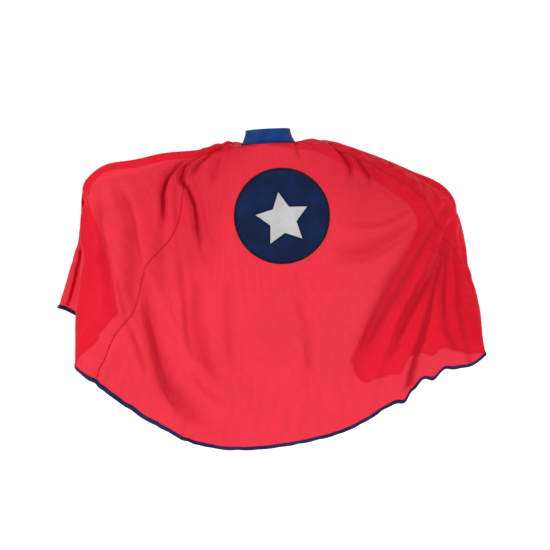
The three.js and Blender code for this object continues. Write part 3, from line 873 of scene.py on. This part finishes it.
tab = band("tab_shell", TAB_FROM, TAB_TO, rounded(0.0470, 0.0484, 0.0045, 0.0225, 0.0007), "blue_collar",
           ["tab_outer"], "collar_tab", count=60, rise=tab_rise)
tab_inner = band("tab_inner", TAB_FROM, TAB_TO - 0.6, rounded(0.0457, 0.0467, 0.0046, 0.0224, 0.0005),
                 "blue_collar", ["tab_lining"], "collar_tab", count=60, rise=tab_rise)
hook = band("hook_square", SQUARE_FROM, SQUARE_TO, rounded(0.0496, 0.0504, 0.0070, 0.0200, 0.0004),
            "hook_and_loop", ["hook_patch"], "collar_tab", count=30)
loop = band("loop_square", SQUARE_FROM, SQUARE_TO, rounded(0.0485, 0.0493, 0.0070, 0.0200, 0.0004),
            "hook_and_loop", ["loop_patch"], "cape", count=30)
label = band("care_label_ribbon", TURN - 14, TURN + 14, rounded(0.0430, 0.0434, 0.0060, 0.0200, 0.0002),
             "label", ["care_label"], count=24, flared=True)

# ---- floor, light, camera --------------------------------------------------------------------------
FLOOR_Z, REACH = -0.785, 90
CORNERS = ((-REACH, -REACH), (REACH, -REACH), (REACH, REACH), (-REACH, REACH))
floor = new_mesh("studio_floor", [(x, y, FLOOR_Z) for x, y in CORNERS], [(0, 1, 2, 3)])
pale = Nodes("pale_floor")
pale.set(Base_Color=(0.95, 0.95, 0.95, 1), Roughness=1.0, Specular_IOR_Level=0.0,
         Emission_Color=(1, 1, 1, 1), Emission_Strength=0.74)
floor.data.materials.append(pale.mat)

world = bpy.data.worlds.new("studio")
bpy.context.scene.world = world
world.use_nodes = True
sky = world.node_tree
geometry = sky.nodes.new("ShaderNodeTexCoord")
direction = sky.nodes.new("ShaderNodeSeparateXYZ")
sky.links.new(geometry.outputs["Generated"], direction.inputs[0])
fade = sky.nodes.new("ShaderNodeMapRange")        # white behind the cape
level = sky.nodes.new("ShaderNodeMapRange")       # and white all round at eye level
height = sky.nodes.new("ShaderNodeMath")
height.operation = "ABSOLUTE"
brighter = sky.nodes.new("ShaderNodeMath")
brighter.operation = "MAXIMUM"
DIM, WHITE = 0.30, 1.04
for node, low, high, start, end in ((fade, 0.2, 0.8, DIM, WHITE), (level, 0.12, 0.22, WHITE, DIM)):
    node.interpolation_type = "SMOOTHSTEP"
    node.inputs["From Min"].default_value, node.inputs["From Max"].default_value = low, high
    node.inputs["To Min"].default_value, node.inputs["To Max"].default_value = start, end
sky.links.new(direction.outputs["Y"], fade.inputs["Value"])
sky.links.new(direction.outputs["Z"], height.inputs[0])
sky.links.new(height.outputs[0], level.inputs["Value"])
sky.links.new(fade.outputs[0], brighter.inputs[0])
sky.links.new(level.outputs[0], brighter.inputs[1])
sky.links.new(brighter.outputs[0], sky.nodes["Background"].inputs["Strength"])
sky.nodes["Background"].inputs["Color"].default_value = (1, 1, 1, 1)


def lamp(name, place, target, size, power):
    """A soft square lamp that isn't seen itself."""
    data = bpy.data.lights.new(name, "AREA")
    data.shape, data.size, data.energy = "SQUARE", size, power
    ob = bpy.data.objects.new(name, data)
    ob.location = place
    ob.rotation_euler = (Vector(target) - Vector(place)).to_track_quat("-Z", "Y").to_euler()
    ob.visible_camera = False
    bpy.context.scene.collection.objects.link(ob)


lamp("key", (-2.9, -1.7, 1.5), (0, 0, -0.25), 0.7, 42)
lamp("top", (0.9, -1.5, 2.3), (0.15, 0, -0.25), 1.0, 20)

VIEW_WIDTH, DISTANCE, BACK_Y = 1.144, 6.0, -0.06          # the back is framed 1.144 m wide, from 6 m
camera_data = bpy.data.cameras.new("camera")
camera_data.sensor_width = 36
camera_data.lens = 36 * DISTANCE / VIEW_WIDTH
camera_data.clip_end = 100
camera = bpy.data.objects.new("camera", camera_data)
camera.location = (0.01456, BACK_Y - DISTANCE, -0.27872)
camera.rotation_euler = (math.radians(90), 0, 0)
bpy.context.scene.collection.objects.link(camera)
bpy.context.scene.camera = camera
bpy.context.scene.view_settings.view_transform = "Standard"
